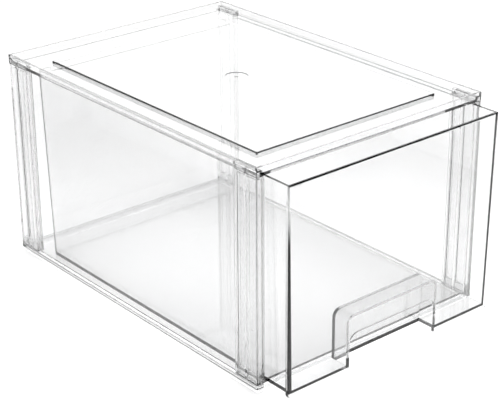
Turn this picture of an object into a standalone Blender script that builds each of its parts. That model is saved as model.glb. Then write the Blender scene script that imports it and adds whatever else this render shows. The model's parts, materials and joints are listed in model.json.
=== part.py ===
"""Clear knock-down shoe box: a case of five snap-together panels with a drawer that slides out at the front.

Metres, +Z up. The drawer opens towards -Y. The origin is under the middle of the whole box, on the surface
that it stands on, with the drawer a little way out.
"""

import math

import bmesh
import bpy

# Overall sizes
CASE_WIDTH = 0.2428
CASE_DEPTH = 0.3370
CASE_HEIGHT = 0.1922
DRAWER_OUT = 0.0267  # how far the drawer's front stands out of the case

# Fits
FIT = 0.0003  # gap between two pieces that touch
STOP_GAP = 0.0006  # behind the drawer's front when it is shut

# Top panel
RIM_WALL = 0.0020
RIM_RISE = 0.0057  # from the border up to the rim's top edge
TOP_SHEET = 0.0020
MIDDLE_RISE = 0.0024  # from the border up to the raised middle
MIDDLE_SIDE = 0.0250  # from the case's side to the raised middle
MIDDLE_FRONT = 0.0290
MIDDLE_BACK = 0.0318
MIDDLE_WALL = 0.0020
BLOCK_WIDTH = 0.0060  # from the case's side to the inner face of each corner block
BLOCK_LENGTH = 0.0275
STACK_GAP = 0.0010  # over the rim, under the base of a box that stands on this one
GATE_RADIUS = 0.0100
GATE_SINK = 0.0004
NUB_RADIUS = 0.0016
NUB_RISE = 0.0004

# Corner posts of the side panels
POST_LENGTH = 0.0265  # along the case's depth
POST_THICKNESS = 0.0079  # across the case's width
POST_WALL = 0.0024
POST_CAP = 0.0024
TAB_OUTER = 0.0012  # from the case's side in to the top's sockets
TAB_INNER = 0.0045
TAB_WALL = 0.0012  # at each end of a pair of sockets, and between them
SOCKET_ROOF = 0.0010
PEG_RISE = 0.0078

# Sheets between the posts
SIDE_SHEET = 0.0022
SIDE_SINK = 0.0025  # from the case's side in to the sheet
BACK_SHEET = 0.0023
BACK_SINK = 0.0047

# Base panel
FOOT_WALL = 0.0024
BASE_BAND = 0.0031  # height of the band that shows round the base
BASE_SHEET = 0.0023

# Drawer
FRONT_SHEET = 0.0029
FRONT_OVERLAP = 0.0030  # how far the front hangs below the tub
FRONT_RADIUS = 0.0035  # of the front's two lower corners
FRONT_EDGE = 0.0015  # rounding round the front's outer face
DRAWER_SIDE_GAP = 0.0003
DRAWER_TOP_GAP = 0.0006
BACK_DROP = 0.0039  # how far the middle of the tub's back is cut below its rim
DRAWER_FLOOR = 0.0025
TUB_WALL = 0.0024
SHUT_GAP = 0.0008  # between the shut drawer's rim and the back panel
SIDE_DRAFT = 0.0027  # how far each side leans in, from rim to floor
BACK_DRAFT = 0.0036
TUB_RADIUS = 0.0045
BACK_STEP = 0.0120  # width at each end of the tub's back that keeps its full height

# Finger pull
PULL_WIDTH = 0.0970
PULL_HEIGHT = 0.0472  # from the front's lower edge to the pocket's ceiling
PULL_DEPTH = 0.0174
PULL_WALL = 0.0022
PULL_RADIUS = 0.0045
LIP_HEIGHT = 0.0325  # from the front's lower edge to the lip
LIP_RADIUS = 0.0090

ARC_STEPS = 6
PAST = 0.002  # how far a cutter runs past the face that it opens
SUNK = 0.001  # how far joined shapes run into each other

# Places worked out from the sizes
HALF_WIDTH = CASE_WIDTH / 2
CASE_FRONT = (DRAWER_OUT - CASE_DEPTH) / 2
CASE_BACK = CASE_FRONT + CASE_DEPTH
BORDER_TOP = CASE_HEIGHT - RIM_RISE
BORDER_UNDER = BORDER_TOP - TOP_SHEET
MIDDLE_TOP = BORDER_TOP + MIDDLE_RISE
FOOT_INSET = RIM_WALL + FIT
FOOT_HEIGHT = RIM_RISE - MIDDLE_RISE + STACK_GAP
BASE_TOP = FOOT_HEIGHT + BASE_BAND
BASE_UNDER = BASE_TOP - BASE_SHEET
SIDE_BOTTOM = BASE_TOP + FIT
SIDE_TOP = BORDER_UNDER - FIT
POST_INNER = HALF_WIDTH - POST_THICKNESS
TUB_UNDER = BASE_TOP + 2 * FIT
FRONT_UNDER = TUB_UNDER - FRONT_OVERLAP
DRAWER_TOP = BORDER_UNDER - DRAWER_TOP_GAP
DRAWER_HALF = POST_INNER - DRAWER_SIDE_GAP
DRAWER_FRONT = CASE_FRONT - DRAWER_OUT
BACK_OUTER = CASE_BACK - BACK_SINK
TUB_LENGTH = CASE_DEPTH - BACK_SINK - BACK_SHEET - SHUT_GAP
SOCKET_TOP = MIDDLE_TOP - SOCKET_ROOF

CLEAR_PLASTIC = (0.93, 0.94, 0.95, 1.0)


def clear_scene():
    for obj in list(bpy.data.objects):
        bpy.data.objects.remove(obj, do_unlink=True)


def plastic(name, roughness):
    """Water-clear moulded polystyrene."""
    material = bpy.data.materials.new(name)
    material.use_nodes = True
    shader = material.node_tree.nodes["Principled BSDF"]
    shader.inputs["Base Color"].default_value = CLEAR_PLASTIC
    shader.inputs["Metallic"].default_value = 0.0
    shader.inputs["Roughness"].default_value = roughness
    shader.inputs["IOR"].default_value = 1.58
    shader.inputs["Transmission Weight"].default_value = 0.9
    return material


def make_object(name, bm):
    bmesh.ops.recalc_face_normals(bm, faces=bm.faces)
    mesh = bpy.data.meshes.new(name)
    bm.to_mesh(mesh)
    bm.free()
    obj = bpy.data.objects.new(name, mesh)
    bpy.context.scene.collection.objects.link(obj)
    return obj


def between(rings):
    """A closed body through rings of points that match one another, with a cap at each end."""
    bm = bmesh.new()
    loops = [[bm.verts.new(point) for point in ring] for ring in rings]
    for lower, upper in zip(loops, loops[1:]):
        for i in range(len(lower)):
            j = (i + 1) % len(lower)
            bm.faces.new((lower[i], lower[j], upper[j], upper[i]))
    bm.faces.new(loops[0])
    bm.faces.new(loops[-1])
    return make_object("shape", bm)


def block(low, high):
    (x0, y0, z0), (x1, y1, z1) = low, high
    corners = ((x0, y0), (x1, y0), (x1, y1), (x0, y1))
    return between([[(x, y, z) for x, y in corners] for z in (z0, z1)])


def rounded(u0, v0, u1, v1, radii):
    """A rectangle's outline, with radii in the order (u0, v0), (u1, v0), (u1, v1), (u0, v1)."""
    points = []
    corners = ((u0, v0, 1, 1), (u1, v0, -1, 1), (u1, v1, -1, -1), (u0, v1, 1, -1))
    for turn, ((u, v, du, dv), radius) in enumerate(zip(corners, radii)):
        if radius == 0:
            points.append((u, v))
            continue
        for step in range(ARC_STEPS + 1):
            angle = math.radians(180 + 90 * turn + 90 * step / ARC_STEPS)
            centre = (u + du * radius, v + dv * radius)
            points.append((centre[0] + radius * math.cos(angle), centre[1] + radius * math.sin(angle)))
    return points


def upright(outline, z0, z1):
    return between([[(x, y, z) for x, y in outline] for z in (z0, z1)])


def facing(outline, y0, y1):
    """An outline in X and Z, carried along Y."""
    return between([[(x, y, z) for x, z in outline] for y in (y0, y1)])


def disc(centre, radius, z0, z1, sides=40):
    angles = [2 * math.pi * i / sides for i in range(sides)]
    ring = [(centre[0] + radius * math.cos(a), centre[1] + radius * math.sin(a)) for a in angles]
    return upright(ring, z0, z1)


def combine(target, other, operation):
    modifier = target.modifiers.new(operation.title(), "BOOLEAN")
    modifier.operation = operation
    modifier.solver = "EXACT"
    modifier.object = other
    depsgraph = bpy.context.evaluated_depsgraph_get()
    mesh = bpy.data.meshes.new_from_object(target.evaluated_get(depsgraph))
    target.modifiers.clear()
    old = target.data
    target.data = mesh
    bpy.data.meshes.remove(old)
    bpy.data.objects.remove(other, do_unlink=True)


def piece(name, material, first, added=(), cut=(), put_back=()):
    """One moulded piece: shapes joined, then shapes cut away, then shapes joined inside the cuts."""
    for shapes, operation in ((added, "UNION"), (cut, "DIFFERENCE"), (put_back, "UNION")):
        for shape in shapes:
            combine(first, shape, operation)
    first.name = name
    first.data.name = name
    first.data.materials.clear()
    first.data.materials.append(material)
    first.data.set_sharp_from_angle(angle=math.radians(30))
    return first


def cell_spans():
    """The two hollow cells along a post, as distances from the case's end face."""
    rib = POST_LENGTH / 2 + POST_WALL / 2
    return ((POST_WALL, rib - POST_WALL / 2), (rib + POST_WALL / 2, POST_LENGTH - POST_WALL))


def post_box(side, end, span, x_span, z_span, grow=0.0):
    """A block in one of the case's corners.

    side is -1 left or 1 right; end is -1 front or 1 back. span is distances in from the case's end face
    and x_span is distances in from its side. grow widens it in X and Y.
    """
    x_outer, x_inner = (side * (HALF_WIDTH - d) for d in (x_span[0] - grow, x_span[1] + grow))
    face = CASE_FRONT if end < 0 else CASE_BACK
    y_outer, y_inner = (face - end * d for d in (span[0] - grow, span[1] + grow))
    xs, ys = sorted((x_outer, x_inner)), sorted((y_outer, y_inner))
    return block((xs[0], ys[0], z_span[0]), (xs[1], ys[1], z_span[1]))


CORNERS = [(side, end) for side in (-1, 1) for end in (-1, 1)]


def in_cells(side, end, z_span, grow):
    """The post's two cells, or with a negative grow the pegs that stand in them."""
    across = (POST_WALL, POST_THICKNESS - POST_WALL)
    return [post_box(side, end, span, across, z_span, grow) for span in cell_spans()]


def in_sockets(side, end, z_span, grow):
    """The two sockets over a post, or with a negative grow the tabs that stand in them."""
    middle = POST_LENGTH / 2
    spans = ((TAB_WALL, middle - TAB_WALL / 2), (middle + TAB_WALL / 2, POST_LENGTH - TAB_WALL))
    return [post_box(side, end, span, (TAB_OUTER, TAB_INNER), z_span, grow) for span in spans]


def top_panel(material):
    """A tray with a raised rim and middle, and a low block in each corner with a double socket under it."""
    panel = block((-HALF_WIDTH, CASE_FRONT, BORDER_UNDER), (HALF_WIDTH, CASE_BACK, CASE_HEIGHT))
    tray = block(
        (RIM_WALL - HALF_WIDTH, CASE_FRONT + RIM_WALL, BORDER_TOP),
        (HALF_WIDTH - RIM_WALL, CASE_BACK - RIM_WALL, CASE_HEIGHT + PAST),
    )
    combine(panel, tray, "DIFFERENCE")
    side, front, back = HALF_WIDTH - MIDDLE_SIDE, CASE_FRONT + MIDDLE_FRONT, CASE_BACK - MIDDLE_BACK
    middle = block((-side, front, BORDER_TOP - SUNK), (side, back, MIDDLE_TOP))
    hollow = block(
        (MIDDLE_WALL - side, front + MIDDLE_WALL, BORDER_UNDER - PAST),
        (side - MIDDLE_WALL, back - MIDDLE_WALL, MIDDLE_TOP - TOP_SHEET),
    )
    blocks = [
        post_box(*corner, (SUNK, BLOCK_LENGTH), (SUNK, BLOCK_WIDTH), (BORDER_TOP - SUNK, MIDDLE_TOP))
        for corner in CORNERS
    ]
    sockets = [
        socket for corner in CORNERS for socket in in_sockets(*corner, (BORDER_UNDER - PAST, SOCKET_TOP), 0.0)
    ]
    centre = (0.0, (CASE_FRONT + CASE_BACK) / 2)
    gate = disc(centre, GATE_RADIUS, MIDDLE_TOP - GATE_SINK, CASE_HEIGHT)
    nub = disc(centre, NUB_RADIUS, MIDDLE_TOP - GATE_SINK - SUNK, MIDDLE_TOP - GATE_SINK + NUB_RISE, 16)
    return piece("top_panel", material, panel, [middle, *blocks], [hollow, *sockets, gate], [nub])


def side_panel(name, material, side):
    """A sheet between two hollow posts, with tabs for the top's sockets and cells for the base's pegs."""
    sheet_x = sorted(side * (HALF_WIDTH - d) for d in (SIDE_SINK, SIDE_SINK + SIDE_SHEET))
    panel = block(
        (sheet_x[0], CASE_FRONT + POST_LENGTH - SUNK, SIDE_BOTTOM),
        (sheet_x[1], CASE_BACK - POST_LENGTH + SUNK, SIDE_TOP),
    )
    posts, cells, tabs = [], [], []
    for end in (-1, 1):
        posts.append(post_box(side, end, (0, POST_LENGTH), (0, POST_THICKNESS), (SIDE_BOTTOM, SIDE_TOP)))
        cells += in_cells(side, end, (SIDE_BOTTOM - PAST, SIDE_TOP - POST_CAP), 0.0)
        tabs += in_sockets(side, end, (SIDE_TOP - SUNK, SOCKET_TOP - FIT), -FIT)
    slot = post_box(
        side, 1, (BACK_SINK - FIT, BACK_SINK + BACK_SHEET + FIT),
        (POST_THICKNESS - POST_WALL - SUNK, POST_THICKNESS + PAST),
        (SIDE_BOTTOM - PAST, SIDE_TOP - POST_CAP),
    )
    return piece(name, material, panel, posts, [*cells, slot], tabs)


def back_panel(material):
    """A sheet whose two upright edges slide into slots in the back posts."""
    half = POST_INNER - FIT
    tongue = POST_INNER + POST_WALL - FIT
    panel = block((-half, BACK_OUTER - BACK_SHEET, SIDE_BOTTOM), (half, BACK_OUTER, SIDE_TOP))
    edges = block(
        (-tongue, BACK_OUTER - BACK_SHEET, SIDE_BOTTOM),
        (tongue, BACK_OUTER, SIDE_TOP - POST_CAP - FIT),
    )
    return piece("back_panel", material, panel, [edges])


def base_panel(material):
    """A floor on a foot that nests inside the rim of a box below, with two pegs up into each post."""
    floor_front = CASE_FRONT + FRONT_SHEET + STOP_GAP
    band = block((-HALF_WIDTH, floor_front, FOOT_HEIGHT), (HALF_WIDTH, CASE_BACK, BASE_TOP))
    corners = [
        post_box(side, -1, (0, POST_LENGTH), (0, POST_THICKNESS - SUNK), (FOOT_HEIGHT, BASE_TOP))
        for side in (-1, 1)
    ]
    foot = block(
        (FOOT_INSET - HALF_WIDTH, CASE_FRONT + FOOT_INSET, 0.0),
        (HALF_WIDTH - FOOT_INSET, CASE_BACK - FOOT_INSET, FOOT_HEIGHT + FIT),
    )
    hollow = block(
        (FOOT_INSET + FOOT_WALL - HALF_WIDTH, CASE_FRONT + FOOT_INSET + FOOT_WALL, -PAST),
        (HALF_WIDTH - FOOT_INSET - FOOT_WALL, CASE_BACK - FOOT_INSET - FOOT_WALL, BASE_UNDER),
    )
    pegs = [
        peg
        for corner in CORNERS
        for peg in in_cells(*corner, (BASE_TOP - SUNK, BASE_TOP + PEG_RISE), -FIT)
    ]
    return piece("base_panel", material, foot, [band, *corners], [hollow], pegs)


def tub(z_low, z_high, shrink, front):
    """The drawer's tapered body between two heights, drawn in by shrink on its sides and back."""
    rings = []
    for z in (z_low, z_high):
        lean = (DRAWER_TOP - z) / (DRAWER_TOP - TUB_UNDER)
        half = DRAWER_HALF - SIDE_DRAFT * lean - shrink
        back = DRAWER_FRONT + TUB_LENGTH - BACK_DRAFT * lean - shrink
        radius = TUB_RADIUS - min(shrink, TUB_RADIUS / 2)
        outline = rounded(-half, front, half, back, (0, 0, radius, radius))
        rings.append([(x, y, z) for x, y in outline])
    return between(rings)


def front_plate(y_back):
    """The drawer's front, with an outer face that rounds over at its edges."""
    angles = [math.radians(90 * step / ARC_STEPS) for step in range(ARC_STEPS + 1)]
    sections = [(FRONT_EDGE * (1 - math.sin(a)), DRAWER_FRONT + FRONT_EDGE * (1 - math.cos(a))) for a in angles]
    rings = []
    for inset, y in [*sections, (0.0, y_back)]:
        corner = FRONT_RADIUS - inset
        outline = rounded(
            inset - DRAWER_HALF, FRONT_UNDER + inset, DRAWER_HALF - inset, DRAWER_TOP - inset,
            (corner, corner, 0, 0),
        )
        rings.append([(x, y, z) for x, z in outline])
    return between(rings)


def drawer(material):
    """A tapered tub whose front hangs as a lip over a finger pocket that is open below."""
    front_back = DRAWER_FRONT + FRONT_SHEET
    body = tub(TUB_UNDER, DRAWER_TOP, 0.0, front_back - SUNK)
    front = front_plate(front_back)
    inside = tub(TUB_UNDER + DRAWER_FLOOR, DRAWER_TOP + PAST, TUB_WALL, front_back)
    back_reach = TUB_WALL + BACK_DRAFT + PAST
    back_edge = DRAWER_FRONT + TUB_LENGTH
    step = block(
        (BACK_STEP - DRAWER_HALF, back_edge - back_reach, DRAWER_TOP - BACK_DROP),
        (DRAWER_HALF - BACK_STEP, back_edge + PAST, DRAWER_TOP + PAST),
    )
    combine(body, inside, "DIFFERENCE")
    combine(body, step, "DIFFERENCE")
    half = PULL_WIDTH / 2
    ceiling = FRONT_UNDER + PULL_HEIGHT
    pocket_back = DRAWER_FRONT + PULL_DEPTH
    corner = (0, 0, PULL_RADIUS, PULL_RADIUS)
    outer = [radius + PULL_WALL if radius else 0 for radius in corner]
    housing = facing(
        rounded(-half - PULL_WALL, TUB_UNDER, half + PULL_WALL, ceiling + PULL_WALL, outer),
        front_back - SUNK,
        pocket_back + PULL_WALL,
    )
    pocket = facing(rounded(-half, FRONT_UNDER - PAST, half, ceiling, corner), front_back, pocket_back)
    mouth = facing(
        rounded(-half, FRONT_UNDER - PAST, half, FRONT_UNDER + LIP_HEIGHT, (0, 0, LIP_RADIUS, LIP_RADIUS)),
        DRAWER_FRONT - PAST,
        front_back + SUNK,
    )
    return piece("drawer", material, front, [body, housing], [pocket, mouth])


def build():
    clear_scene()
    clear = plastic("clear_plastic", 0.04)
    top_panel(clear)
    for name, side in (("left_side_panel", -1), ("right_side_panel", 1)):
        side_panel(name, clear, side)
    back_panel(clear)
    base_panel(clear)
    drawer(clear)


build()
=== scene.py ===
"""Looks for the clear drawer shoe box: clear mouldings with softened edges, on a pale studio floor."""

import json
import math

import bmesh
import bpy
from mathutils import Matrix, Vector


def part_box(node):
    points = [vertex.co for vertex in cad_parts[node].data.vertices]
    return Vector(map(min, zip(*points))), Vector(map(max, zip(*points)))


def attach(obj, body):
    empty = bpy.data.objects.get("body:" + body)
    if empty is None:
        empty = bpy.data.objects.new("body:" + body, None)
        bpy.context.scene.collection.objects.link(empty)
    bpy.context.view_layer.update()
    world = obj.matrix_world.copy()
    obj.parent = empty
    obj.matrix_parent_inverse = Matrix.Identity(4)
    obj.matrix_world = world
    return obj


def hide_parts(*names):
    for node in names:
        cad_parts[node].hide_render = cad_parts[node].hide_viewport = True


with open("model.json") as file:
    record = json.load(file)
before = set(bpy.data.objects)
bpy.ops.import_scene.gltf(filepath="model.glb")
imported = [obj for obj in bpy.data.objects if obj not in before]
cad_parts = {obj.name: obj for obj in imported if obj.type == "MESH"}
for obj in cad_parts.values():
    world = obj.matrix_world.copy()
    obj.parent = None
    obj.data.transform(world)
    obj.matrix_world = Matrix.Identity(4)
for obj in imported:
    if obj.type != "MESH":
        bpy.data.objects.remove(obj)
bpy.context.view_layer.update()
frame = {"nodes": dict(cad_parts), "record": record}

# Places read from the frame
CASE_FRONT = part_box("base_panel")[0].y

# Mesh finish
FLAT_ANGLE = math.radians(0.5)  # neighbouring faces that turn less than this become one face
WELD = 1e-6
EDGE_ANGLE = math.radians(25)  # edges that turn more than this are softened
EDGE_RADIUS = 0.00045
EDGE_STEPS = 2

# Camera: where it stands from the middle of the case's front lower edge, and how it is turned
CAMERA_FROM_FRONT = Vector((-0.7739, -0.7687, 0.6253))
CAMERA_LOOK = Vector((0.58537, 0.69613, -0.41562))
CAMERA_ROLL = math.radians(-0.35)
CAMERA_LENS = 108.83

# Clear polystyrene: WAVE is a noise scale and POLISH is a roughness
PLASTIC_IOR = 1.56
PLASTIC_TINT = (0.965, 0.965, 0.965, 1.0)
PLASTIC_CLOUD = (0.945, 0.947, 0.95, 1.0)
LEVEL_SHADE = 0.985
UPRIGHT_SHADE = 0.81
HAZE_COLOUR = (0.5, 0.5, 0.5, 1.0)
CASE_HAZE = 30.0
# The base is the same plastic as the case: part of its thicker haze is real absorption, and the extra is
# painted shade that darkens the base.
BASE_HAZE_AND_PAINTED_SHADE = 90.0
DRAWER_HAZE = 30.0
CASE_WAVE = 18.0
DRAWER_WAVE = 14.0
CASE_POLISH = 0.02
DRAWER_POLISH = 0.015
LEAST_POLISH = 0.4  # roughness of the smoothest spots, as a share of the roughest
FLOW_BUMP = 0.005
FLOW_HEIGHT = 0.002
CLOUD_DETAIL = 1.0
FLOW_DETAIL = 2.0
FLOW_ROUGHNESS = 0.4
WEAR_DETAIL = 3.0

# Studio; the floor glows, with a painted pool of light that is brightest round the box
FLOOR_HALF = 6.0
FLOOR_COLOUR = (0.8, 0.8, 0.8, 1.0)
FLOOR_GLOW = 0.18
# Painted pool of light: the floor's extra glow round the box, and how far it reaches
PAINTED_POOL_GLOW = 0.75
PAINTED_POOL_REACH = 0.4
BACKDROP_TOWARD = (0.64, 0.77, 0.0)
BACKDROP_TOP = 0.50  # heights and starts are parts of a unit direction
BACKDROP_START = 0.2
BACKDROP_FULL = 0.7
HORIZON_TOP = 0.12
SKY_FADE = 0.08
SKY_TOP = 0.03
SKY_STRENGTH = 1.7
LAMP_PLACE = (0.3, -0.2, 3.0)
LAMP_SIZE = 2.5
LAMP_POWER = 120.0


def add(tree, kind, **inputs):
    """A new shader node, with sockets set by name."""
    made = tree.nodes.new(kind)
    for name, value in inputs.items():
        made.inputs[name.replace("_", " ")].default_value = value
    return made


def clear_plastic(name, wave, polish, density):
    """Water-clear moulded plastic: faint clouds and flow waves, and a polish that varies a little."""
    material = bpy.data.materials.new(name)
    material.use_nodes = True
    tree = material.node_tree
    tree.nodes.clear()
    out = tree.nodes.new("ShaderNodeOutputMaterial")
    shader = add(tree, "ShaderNodeBsdfPrincipled", Transmission_Weight=1.0, IOR=PLASTIC_IOR)
    place = tree.nodes.new("ShaderNodeTexCoord")

    cloud = add(tree, "ShaderNodeTexNoise", Scale=wave / 2, Detail=CLOUD_DETAIL)
    tree.links.new(place.outputs["Object"], cloud.inputs["Vector"])
    tint = add(tree, "ShaderNodeMix")
    tint.data_type = "RGBA"
    tint.inputs[6].default_value = PLASTIC_CLOUD
    tint.inputs[7].default_value = PLASTIC_TINT
    tree.links.new(cloud.outputs["Fac"], tint.inputs[0])
    tree.links.new(tint.outputs[2], shader.inputs["Base Color"])

    flow = add(tree, "ShaderNodeTexNoise", Scale=wave, Detail=FLOW_DETAIL, Roughness=FLOW_ROUGHNESS)
    tree.links.new(place.outputs["Object"], flow.inputs["Vector"])
    bump = add(tree, "ShaderNodeBump", Strength=FLOW_BUMP, Distance=FLOW_HEIGHT)
    tree.links.new(flow.outputs["Fac"], bump.inputs["Height"])
    tree.links.new(bump.outputs["Normal"], shader.inputs["Normal"])

    wear = add(tree, "ShaderNodeTexNoise", Scale=wave * 6, Detail=WEAR_DETAIL)
    tree.links.new(place.outputs["Object"], wear.inputs["Vector"])
    rough = add(tree, "ShaderNodeMapRange", To_Min=polish * LEAST_POLISH, To_Max=polish)
    tree.links.new(wear.outputs["Fac"], rough.inputs["Value"])
    tree.links.new(rough.outputs["Result"], shader.inputs["Roughness"])

    # A shadow is faint under a level face and darker beside an upright one, which guides light away.
    shape = tree.nodes.new("ShaderNodeNewGeometry")
    split = tree.nodes.new("ShaderNodeSeparateXYZ")
    tree.links.new(shape.outputs["True Normal"], split.inputs["Vector"])
    level = tree.nodes.new("ShaderNodeMath")
    level.operation = "ABSOLUTE"
    tree.links.new(split.outputs["Z"], level.inputs[0])
    shade = add(tree, "ShaderNodeMapRange", To_Min=UPRIGHT_SHADE, To_Max=LEVEL_SHADE)
    tree.links.new(level.outputs["Value"], shade.inputs["Value"])
    shadow = tree.nodes.new("ShaderNodeBsdfTransparent")
    tree.links.new(shade.outputs["Result"], shadow.inputs["Color"])
    path = tree.nodes.new("ShaderNodeLightPath")
    mix = tree.nodes.new("ShaderNodeMixShader")
    tree.links.new(path.outputs["Is Shadow Ray"], mix.inputs[0])
    tree.links.new(shader.outputs["BSDF"], mix.inputs[1])
    tree.links.new(shadow.outputs["BSDF"], mix.inputs[2])
    tree.links.new(mix.outputs["Shader"], out.inputs["Surface"])
    haze = add(tree, "ShaderNodeVolumeAbsorption", Color=HAZE_COLOUR, Density=density)
    tree.links.new(haze.outputs["Volume"], out.inputs["Volume"])
    return material


def moulded(node, material):
    """A finished copy of a CAD node, with its flat faces whole and its edges softened."""
    mesh = frame["nodes"][node].data.copy()
    bm = bmesh.new()
    bm.from_mesh(mesh)
    bmesh.ops.remove_doubles(bm, verts=bm.verts, dist=WELD)
    bmesh.ops.dissolve_limit(bm, angle_limit=FLAT_ANGLE, verts=bm.verts, edges=bm.edges)
    low = [min(vert.co[axis] for vert in bm.verts) for axis in range(3)]
    high = [max(vert.co[axis] for vert in bm.verts) for axis in range(3)]
    sharp = [edge for edge in bm.edges if edge.calc_face_angle(0.0) > EDGE_ANGLE]
    bmesh.ops.bevel(
        bm,
        geom=sharp,
        offset=EDGE_RADIUS,
        segments=EDGE_STEPS,
        profile=0.5,
        affect="EDGES",
        clamp_overlap=True,
    )
    for vert in bm.verts:
        vert.co = [min(max(vert.co[axis], low[axis]), high[axis]) for axis in range(3)]
    bm.to_mesh(mesh)
    bm.free()
    obj = bpy.data.objects.new(node + "_moulding", mesh)
    bpy.context.scene.collection.objects.link(obj)
    mesh.materials.clear()
    mesh.materials.append(material)
    mesh.shade_flat()
    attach(obj, body_of[node])
    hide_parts(node)


def make_camera():
    data = bpy.data.cameras.new("photo_camera")
    data.lens = CAMERA_LENS
    data.sensor_width = 36.0
    data.clip_start, data.clip_end = 0.05, 50.0
    camera = bpy.data.objects.new("photo_camera", data)
    bpy.context.scene.collection.objects.link(camera)
    camera.matrix_world = (
        Matrix.Translation(Vector((0.0, CASE_FRONT, 0.0)) + CAMERA_FROM_FRONT)
        @ CAMERA_LOOK.to_track_quat("-Z", "Y").to_matrix().to_4x4()
        @ Matrix.Rotation(CAMERA_ROLL, 4, "Z")
    )
    bpy.context.scene.camera = camera


def make_floor():
    """A plain pale floor that glows, with a painted pool of light brightest round the box and an even glow
    further out.
    """
    mesh = bpy.data.meshes.new("floor")
    bm = bmesh.new()
    bmesh.ops.create_grid(bm, x_segments=1, y_segments=1, size=FLOOR_HALF)
    bm.to_mesh(mesh)
    bm.free()
    floor = bpy.data.objects.new("floor", mesh)
    bpy.context.scene.collection.objects.link(floor)
    material = bpy.data.materials.new("pale_floor")
    material.use_nodes = True
    tree = material.node_tree
    shader = tree.nodes["Principled BSDF"]
    shader.inputs["Base Color"].default_value = FLOOR_COLOUR
    shader.inputs["Roughness"].default_value = 0.8
    shader.inputs["Specular IOR Level"].default_value = 0.1
    shader.inputs["Emission Color"].default_value = (1.0, 1.0, 1.0, 1.0)
    place = tree.nodes.new("ShaderNodeTexCoord")
    reach = tree.nodes.new("ShaderNodeVectorMath")
    reach.operation = "LENGTH"
    tree.links.new(place.outputs["Object"], reach.inputs[0])
    # Painted pool of light: the emission is strongest at the box and fades to the even floor glow.
    painted_pool = add(tree, "ShaderNodeMapRange", From_Max=PAINTED_POOL_REACH, To_Min=PAINTED_POOL_GLOW, To_Max=FLOOR_GLOW)
    painted_pool.interpolation_type = "SMOOTHSTEP"
    tree.links.new(reach.outputs["Value"], painted_pool.inputs["Value"])
    tree.links.new(painted_pool.outputs["Result"], shader.inputs["Emission Strength"])
    mesh.materials.append(material)


def make_world():
    """A white backdrop across from the camera, and a low white horizon all round under a dark studio."""
    world = bpy.data.worlds.new("studio")
    bpy.context.scene.world = world
    world.use_nodes = True
    tree = world.node_tree
    tree.nodes.clear()
    out = tree.nodes.new("ShaderNodeOutputWorld")
    back = add(tree, "ShaderNodeBackground", Strength=SKY_STRENGTH)
    place = tree.nodes.new("ShaderNodeTexCoord")
    split = tree.nodes.new("ShaderNodeSeparateXYZ")
    tree.links.new(place.outputs["Generated"], split.inputs["Vector"])
    facing = tree.nodes.new("ShaderNodeVectorMath")
    facing.operation = "DOT_PRODUCT"
    facing.inputs[1].default_value = BACKDROP_TOWARD
    tree.links.new(place.outputs["Generated"], facing.inputs[0])
    edge = add(tree, "ShaderNodeMapRange", From_Min=BACKDROP_START, From_Max=BACKDROP_FULL)
    edge.inputs["To Min"].default_value = HORIZON_TOP
    edge.inputs["To Max"].default_value = BACKDROP_TOP
    edge.interpolation_type = "SMOOTHSTEP"
    tree.links.new(facing.outputs["Value"], edge.inputs["Value"])
    above = tree.nodes.new("ShaderNodeMath")
    above.operation = "SUBTRACT"
    tree.links.new(split.outputs["Z"], above.inputs[0])
    tree.links.new(edge.outputs["Result"], above.inputs[1])
    fade = add(tree, "ShaderNodeMapRange", From_Min=-SKY_FADE, From_Max=SKY_FADE, To_Min=1.0, To_Max=SKY_TOP)
    fade.interpolation_type = "SMOOTHSTEP"
    tree.links.new(above.outputs["Value"], fade.inputs["Value"])
    tree.links.new(fade.outputs["Result"], back.inputs["Color"])
    tree.links.new(back.outputs["Background"], out.inputs["Surface"])


def make_lamp():
    data = bpy.data.lights.new("overhead", "AREA")
    data.shape = "DISK"
    data.size = LAMP_SIZE
    data.energy = LAMP_POWER
    lamp = bpy.data.objects.new("overhead", data)
    bpy.context.scene.collection.objects.link(lamp)
    lamp.location = LAMP_PLACE
    lamp.rotation_mode = "QUATERNION"
    lamp.rotation_quaternion = (-Vector(LAMP_PLACE)).to_track_quat("-Z", "Y")
    lamp.visible_glossy = False
    lamp.visible_transmission = False


body_of = {
    node: body for body, nodes in frame["record"]["behaviour"]["bodies"].items() for node in nodes
}
case_plastic = clear_plastic("clear_case", CASE_WAVE, CASE_POLISH, CASE_HAZE)
# A darker copy of the case plastic for the base, with painted shade in its thicker haze.
base_plastic_with_painted_shade = clear_plastic("clear_base_with_painted_shade", CASE_WAVE, CASE_POLISH, BASE_HAZE_AND_PAINTED_SHADE)
drawer_plastic = clear_plastic("clear_drawer", DRAWER_WAVE, DRAWER_POLISH, DRAWER_HAZE)
for node in ("top_panel", "left_side_panel", "right_side_panel", "back_panel"):
    moulded(node, case_plastic)
moulded("base_panel", base_plastic_with_painted_shade)
moulded("drawer", drawer_plastic)

make_camera()
make_floor()
make_world()
make_lamp()

scene = bpy.context.scene
scene.view_settings.view_transform = "Standard"
scene.cycles.max_bounces = 32
scene.cycles.transmission_bounces = 32
scene.cycles.glossy_bounces = 16
scene.cycles.transparent_max_bounces = 48
